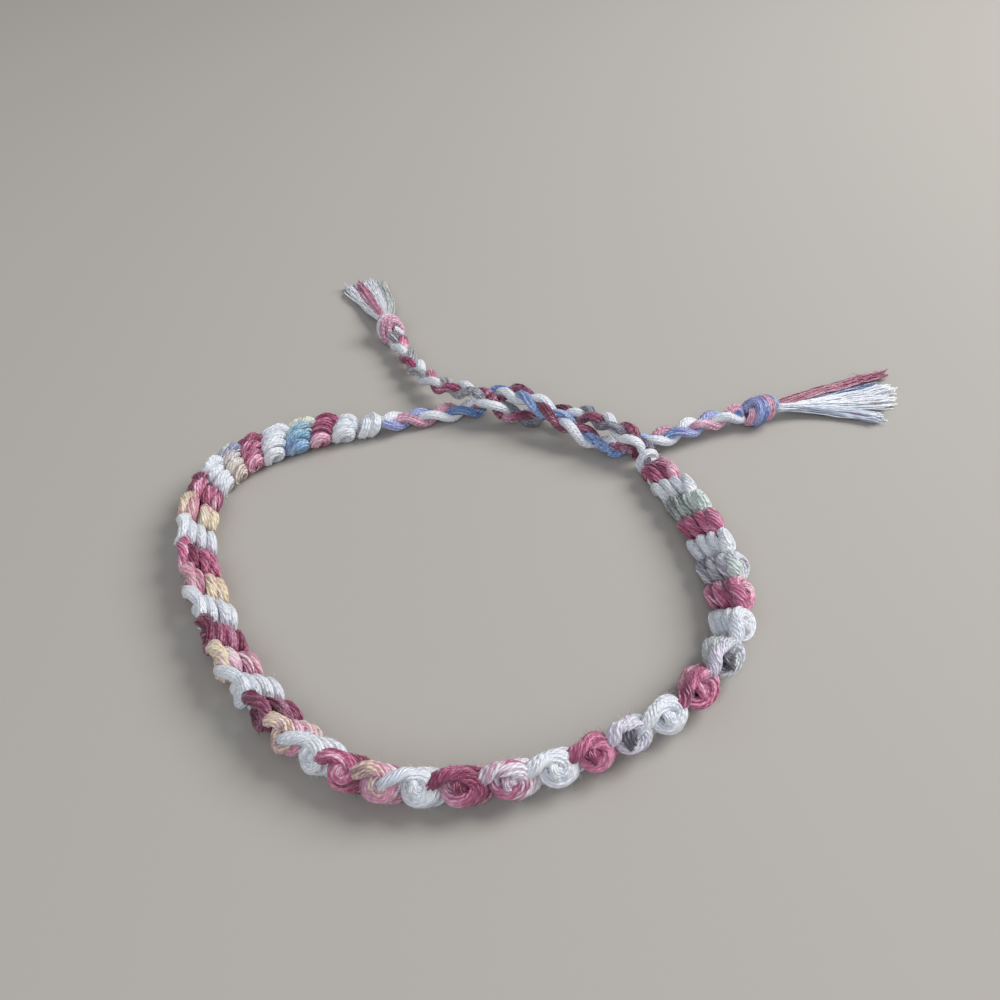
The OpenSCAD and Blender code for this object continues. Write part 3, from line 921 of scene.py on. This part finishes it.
# Plies: their length, the painted light that lifts the colour on their crests, and the strength and
# depth of their bump
PLY_L = 0.62
PLY_PAINTED_LIGHT = 1.08
PLY_BUMP = 0.6
PLY_DEPTH = 0.00007
# How far apart the noise of single strands is, and how far it moves on from row to row
INDEPENDENT = 97.0
ROW_NOISE = 3.7


def node(tree, kind, **values):
    made = tree.nodes.new(kind)
    for name, value in values.items():
        if name in made.inputs:
            made.inputs[name].default_value = value
        else:
            setattr(made, name, value)
    return made


def attribute(tree, name):
    made = node(tree, "ShaderNodeAttribute", attribute_name=name, attribute_type="GEOMETRY")
    return made.outputs["Fac"]


def thread_uv(tree):
    """Place round a strand in plies, and length along the string in millimetres."""
    uv = node(tree, "ShaderNodeUVMap", uv_map="thread").outputs["UV"]
    parts = tree.nodes.new("ShaderNodeSeparateXYZ")
    tree.links.new(uv, parts.inputs[0])
    return parts.outputs[0], parts.outputs[1]


def feed(tree, socket, value):
    """Links a socket to another one, or gives it a number or a colour."""
    if isinstance(value, bpy.types.NodeSocket):
        tree.links.new(value, socket)
    else:
        socket.default_value = (*value, 1) if isinstance(value, tuple) else value


def math_node(tree, operation, *values):
    made = tree.nodes.new("ShaderNodeMath")
    made.operation = operation
    for socket, value in zip(made.inputs, values):
        feed(tree, socket, value)
    return made.outputs[0]


def ramp(tree, fac, stops):
    made = tree.nodes.new("ShaderNodeValToRGB")
    elements = made.color_ramp.elements
    while len(elements) > 1:
        elements.remove(elements[0])
    for i, (place, colour) in enumerate(stops):
        element = elements[0] if i == 0 else elements.new(place)
        element.position = place
        element.color = (*colour, 1)
    tree.links.new(fac, made.inputs["Fac"])
    return made.outputs["Color"]


def mix(tree, fac, a, b, kind="MIX"):
    made = tree.nodes.new("ShaderNodeMix")
    made.data_type = "RGBA"
    made.blend_type = kind
    for i, value in ((0, fac), (6, a), (7, b)):
        feed(tree, made.inputs[i], value)
    return made.outputs[2]


def new_material(name):
    material = bpy.data.materials.new(name)
    material.use_nodes = True
    return material, material.node_tree.nodes["Principled BSDF"]


def thread_material(name, colour_of, ply_painted_shade):
    """Cotton thread. colour_of makes the colour from the tree, and ply_painted_shade is how much
    painted shade darkens the colour between a strand's plies."""
    material, shader = new_material(name)
    tree = material.node_tree
    for label, value in THREAD_SHADER.items():
        shader.inputs[label].default_value = value
    around, run = thread_uv(tree)
    twist = math_node(tree, "ADD", math_node(tree, "DIVIDE", run, PLY_L), around)
    uneven = math_node(tree, "ADD", twist, attribute(tree, "tone"))
    ply = math_node(tree, "SINE", math_node(tree, "MULTIPLY", uneven, math.tau))
    # Painted shade between the plies and painted light on their crests, as a factor on the colour
    light = math_node(tree, "MULTIPLY_ADD", ply, ply_painted_shade / 2, PLY_PAINTED_LIGHT - ply_painted_shade / 2)
    with_painted_shade = mix(tree, 1.0, colour_of(tree), light, kind="MULTIPLY")
    tree.links.new(with_painted_shade, shader.inputs["Base Color"])
    bump = node(tree, "ShaderNodeBump", Strength=PLY_BUMP, Distance=PLY_DEPTH)
    tree.links.new(ply, bump.inputs["Height"])
    tree.links.new(bump.outputs["Normal"], shader.inputs["Normal"])
    return material


def strand_noise(tree, length, seed, apart, detail=1.0):
    """Noise along the strands, where length is in millimetres. apart is how far the strands of a
    string are out of step: 0 gives them one colour, and a large number makes them independent."""
    _, run = thread_uv(tree)
    along = math_node(tree, "DIVIDE", run, length)
    phase = math_node(tree, "MULTIPLY", attribute(tree, "tone"), apart)
    row = math_node(tree, "MULTIPLY", attribute(tree, "place"), ROW_NOISE)
    where = math_node(tree, "ADD", math_node(tree, "ADD", along, phase), row)
    texture = node(tree, "ShaderNodeTexNoise", noise_dimensions="1D", Scale=1.0, Detail=detail)
    tree.links.new(math_node(tree, "ADD", where, seed), texture.inputs["W"])
    return texture.outputs["Fac"]


def white_colour(tree):
    return ramp(tree, strand_noise(tree, 7, 3.0, INDEPENDENT), [
        (0.30, (0.73, 0.77, 0.90)), (0.45, (0.83, 0.86, 0.94)), (0.60, (0.88, 0.90, 0.95)),
        (0.75, (0.85, 0.86, 0.94)),
    ])


# Colours change with the place, which is counted in rows on the band, is past 40 on the knots,
# ties and fringes, and past 90 in the dark holes
PLACE_SCALE = 100


def by_place(tree, stops):
    place = math_node(tree, "DIVIDE", attribute(tree, "place"), PLACE_SCALE)
    return ramp(tree, place, [(p / PLACE_SCALE, colour) for p, colour in stops])


# Painted shade darkens the rose in rows 13, 16 and 22, in the left tie where it crosses the other,
# and in the right tie up to there. It is also darker in the left fringe. It is paler at the left
# tie's ends and in the left stopper knot, and a painted highlight pales it in the right stopper
# knot
ROSE_PAINTED_SHADE = [
    (11.5, (1, 1, 1)), (13.5, (0.60, 0.50, 0.57)), (16.5, (0.50, 0.43, 0.49)), (18.5, (1, 1, 1)),
    (20.5, (1, 1, 1)), (22.5, (0.72, 0.60, 0.68)), (24.5, (1, 1, 1)),
    (50, (1, 1, 1)), (53, (0.48, 0.40, 0.46)), (60, (0.62, 0.52, 0.56)), (65, (1, 1, 1)),
    (68, (1, 1, 1)), (70, (0.55, 0.45, 0.52)), (72, (0.55, 0.45, 0.52)), (76, (1, 1, 1)),
]
ROSE_PALE_AND_PAINTED_HIGHLIGHT = [
    (46, (0, 0, 0)), (49, (0.35, 0.35, 0.35)), (50, (0.35, 0.35, 0.35)), (52, (0, 0, 0)),
    (82, (0, 0, 0)), (84, (0.4, 0.4, 0.4)), (86, (0.4, 0.4, 0.4)),
]
PALE_ROSE_AND_HIGHLIGHT_COLOUR = (0.95, 0.70, 0.84)


def rose_colour(tree):
    together = strand_noise(tree, 9, 5.0, 0.4, detail=3.0)
    single = strand_noise(tree, 8, 11.0, INDEPENDENT, detail=3.0)
    both = mix(tree, 0.45, together, single)
    rose = ramp(tree, both, [
        (0.38, (0.17, 0.022, 0.068)), (0.44, (0.33, 0.055, 0.130)), (0.50, (0.53, 0.118, 0.250)),
        (0.56, (0.77, 0.270, 0.430)), (0.62, (0.97, 0.570, 0.710)),
    ])
    # Painted shade by place, then the paler rose, which in the right stopper knot is painted
    # highlight
    with_painted_shade = mix(tree, 1.0, rose, by_place(tree, ROSE_PAINTED_SHADE), kind="MULTIPLY")
    return mix(tree, by_place(tree, ROSE_PALE_AND_PAINTED_HIGHLIGHT), with_painted_shade, PALE_ROSE_AND_HIGHLIGHT_COLOUR)


# The colour of the blended string changes along its way and from row to row: first where it comes
# out, then on the knot at the outer edge, then on the one at the inner edge
OUT_COLOUR = [
    (2.5, (0.74, 0.78, 0.62)), (5.5, (0.28, 0.34, 0.54)), (8.5, (0.90, 0.70, 0.50)),
    (11.5, (0.80, 0.36, 0.48)), (14.5, (0.95, 0.78, 0.56)), (17.5, (0.84, 0.62, 0.50)),
    (20.5, (0.82, 0.60, 0.50)), (23.5, (1.0, 0.90, 0.98)), (26.5, (0.80, 0.80, 0.87)),
    (29.5, (0.78, 0.75, 0.87)), (32.5, (0.72, 0.80, 0.78)), (35.5, (0.70, 0.80, 0.74)),
    (50, (0.36, 0.40, 0.76)), (60, (0.14, 0.22, 0.46)), (65, (0.66, 0.76, 0.92)),
    (70, (0.14, 0.12, 0.18)), (80, (0.56, 0.60, 0.58)), (90, (0.09, 0.09, 0.12)),
]
OUTER_COLOUR = [
    (2.5, (0.22, 0.46, 0.64)), (5.5, (0.80, 0.74, 0.70)), (8.5, (0.74, 0.30, 0.42)),
    (11.5, (0.76, 0.27, 0.42)), (14.5, (0.92, 0.50, 0.68)), (17.5, (0.80, 0.36, 0.52)),
    (20.5, (0.78, 0.34, 0.50)), (23.5, (0.50, 0.12, 0.25)), (26.5, (0.62, 0.63, 0.72)),
    (29.5, (0.58, 0.60, 0.68)), (32.5, (0.66, 0.66, 0.74)), (35.5, (0.62, 0.73, 0.66)),
    (50, (0.12, 0.26, 0.60)), (60, (0.20, 0.30, 0.55)), (65, (0.72, 0.82, 0.95)),
    (70, (0.30, 0.31, 0.37)), (80, (0.64, 0.69, 0.67)), (90, (0.09, 0.09, 0.12)),
]
INNER_COLOUR = [
    (2.5, (0.28, 0.52, 0.86)), (5.5, (0.86, 0.74, 0.60)), (8.5, (0.94, 0.80, 0.58)),
    (11.5, (0.92, 0.74, 0.50)), (14.5, (0.74, 0.30, 0.44)), (17.5, (0.86, 0.64, 0.54)),
    (20.5, (0.74, 0.27, 0.42)), (23.5, (1.0, 0.92, 1.0)), (26.5, (0.80, 0.84, 0.85)),
    (29.5, (0.70, 0.77, 0.75)), (32.5, (0.22, 0.23, 0.28)), (35.5, (0.34, 0.39, 0.37)),
    (50, (0.24, 0.42, 0.84)), (60, (0.30, 0.42, 0.66)), (65, (0.66, 0.76, 0.92)),
    (70, (0.18, 0.19, 0.25)), (80, (0.64, 0.69, 0.67)), (90, (0.09, 0.09, 0.12)),
]
OUTER_START = [(18.5, 7.5), (20.5, 5), (24, 5.5), (30.5, 5.5), (31.5, 7.5)]
INNER_START = [(21.5, 20), (24, 10), (30.5, 10), (31.5, 20)]
# The colours start again after this length, come early or late by up to half of the next one, and
# pass into each other by this share in a millimetre
REPEAT_L = 52
UNSTEADY_L = 34.0
PASSING = 0.4
# Single strands are darker or paler than the rest of their string
PALE_STREAKS = [(0.5, (0, 0, 0)), (0.65, (0.8, 0.8, 0.8))]
DEEP_STREAKS = [(0.3, (0.50, 0.42, 0.50)), (0.45, (1, 1, 1))]
STREAK_COLOUR = [
    (2.5, (0.80, 0.88, 0.82)), (8.5, (0.97, 0.86, 0.66)), (14.5, (0.98, 0.86, 0.82)),
    (20.5, (0.98, 0.84, 0.88)), (26.5, (0.86, 0.74, 0.94)), (32.5, (0.86, 0.80, 0.95)),
    (35.5, (0.78, 0.92, 0.87)), (50, (0.50, 0.62, 0.90)), (54, (0.48, 0.60, 0.90)),
    (60, (0.78, 0.88, 0.98)), (68, (0.92, 0.92, 0.95)), (70, (0.42, 0.40, 0.48)),
    (72, (0.42, 0.40, 0.48)), (76, (0.72, 0.72, 0.76)), (80, (0.92, 0.92, 0.95)),
    (86, (0.92, 0.92, 0.95)), (90, (0.16, 0.16, 0.20)),
]


def blend_colour(tree):
    base, *later = (by_place(tree, stops) for stops in (OUT_COLOUR, OUTER_COLOUR, INNER_COLOUR))
    _, run = thread_uv(tree)
    run = math_node(tree, "MODULO", run, REPEAT_L)
    together = strand_noise(tree, 9, 29.0, 0.5, detail=3.0)
    unsteady = mix(tree, 0.7, together, strand_noise(tree, 6, 17.0, INDEPENDENT, detail=3.0))
    early = math_node(tree, "SUBTRACT", run, UNSTEADY_L / 2)
    run = math_node(tree, "MULTIPLY_ADD", unsteady, UNSTEADY_L, early)
    for starts, colour in zip((OUTER_START, INNER_START), later):
        start = by_place(tree, [(p, (v / REPEAT_L,) * 3) for p, v in starts])
        past = math_node(tree, "MULTIPLY_ADD", start, -REPEAT_L, run)
        base = mix(tree, math_node(tree, "MULTIPLY_ADD", past, PASSING, 0.5), base, colour)
    pale = ramp(tree, strand_noise(tree, 6, 41.0, INDEPENDENT), PALE_STREAKS)
    deep = ramp(tree, strand_noise(tree, 7, 53.0, INDEPENDENT), DEEP_STREAKS)
    streaked = mix(tree, pale, base, by_place(tree, STREAK_COLOUR))
    return mix(tree, 1.0, streaked, deep, kind="MULTIPLY")


def plain_material(name, colour, roughness):
    material, shader = new_material(name)
    shader.inputs["Base Color"].default_value = (*colour, 1)
    shader.inputs["Roughness"].default_value = roughness
    return material


# Camera, floor and light
CAMERA_AT = (-9.20, -103.60, 82.0)
CAMERA_DOWN = 40
LENS = 36
SENSOR_W = 36
CLIP_START = 0.005
# The stage, in metres. A light's line has its name, place, width, watts and colour
FLOOR_CORNERS = [(-6, -6, 0), (6, -6, 0), (6, 6, 0), (-6, 6, 0)]
FLOOR_COLOUR = (0.42, 0.40, 0.37)
FLOOR_ROUGHNESS = 0.85
LIGHTS = [
    ("window", (0.42, 0.16, 0.42), 0.4, 3.6, (1.0, 0.98, 0.96)),
    ("fill", (-0.15, -0.60, 0.50), 0.5, 1.9, (0.94, 0.97, 1.0)),
]
ROOM_COLOUR = (0.93, 0.95, 1.0, 1)
ROOM_STRENGTH = 0.34


def make_camera():
    data = bpy.data.cameras.new("camera")
    data.lens = LENS
    data.sensor_width = SENSOR_W
    data.clip_start = CLIP_START
    camera = add_object("camera", data)
    camera.location = [v * MM for v in CAMERA_AT]
    camera.rotation_euler = (math.radians(90 - CAMERA_DOWN), 0, 0)
    bpy.context.scene.camera = camera


def area_light(name, place, size, watts, colour):
    """A light that shines at the middle of the floor."""
    data = bpy.data.lights.new(name, "AREA")
    data.shape = "DISK"
    data.size = size
    data.energy = watts
    data.color = colour
    light = add_object(name, data)
    light.location = place
    ahead = unit(-np.array(place))
    light.rotation_euler = (math.acos(-ahead[2]), 0, math.atan2(-ahead[0], ahead[1]))


def make_floor():
    mesh = bpy.data.meshes.new("floor")
    mesh.from_pydata(FLOOR_CORNERS, [], [(0, 1, 2, 3)])
    mesh.materials.append(plain_material("floor_paint", FLOOR_COLOUR, FLOOR_ROUGHNESS))
    floor = add_object("floor", mesh)


def make_room():
    world = bpy.data.worlds.new("room")
    bpy.context.scene.world = world
    world.use_nodes = True
    background = world.node_tree.nodes["Background"]
    background.inputs["Color"].default_value = ROOM_COLOUR
    background.inputs["Strength"].default_value = ROOM_STRENGTH
    bpy.context.scene.view_settings.view_transform = "Standard"


make_camera()
make_floor()
for light in LIGHTS:
    area_light(*light)
make_room()
# The last number of each is how much painted shade darkens the colour between the plies
materials = {
    "white": thread_material("white_thread", white_colour, 0.12),
    "rose": thread_material("rose_thread", rose_colour, 0.34),
    "blend": thread_material("blended_thread", blend_colour, 0.30),
}
make_band(materials)
make_knots(materials)
for colour in COLOURS:
    make_tie("left", left_route, colour, materials[colour])
    make_tie("right", right_route, colour, materials[colour])
make_fringe("left", left_route, LEFT_FRINGE_L, LEFT_FRINGE_W, LEFT_LOCKS, materials)
make_fringe("right", right_route, RIGHT_FRINGE_L, RIGHT_FRINGE_W, RIGHT_LOCKS, materials)
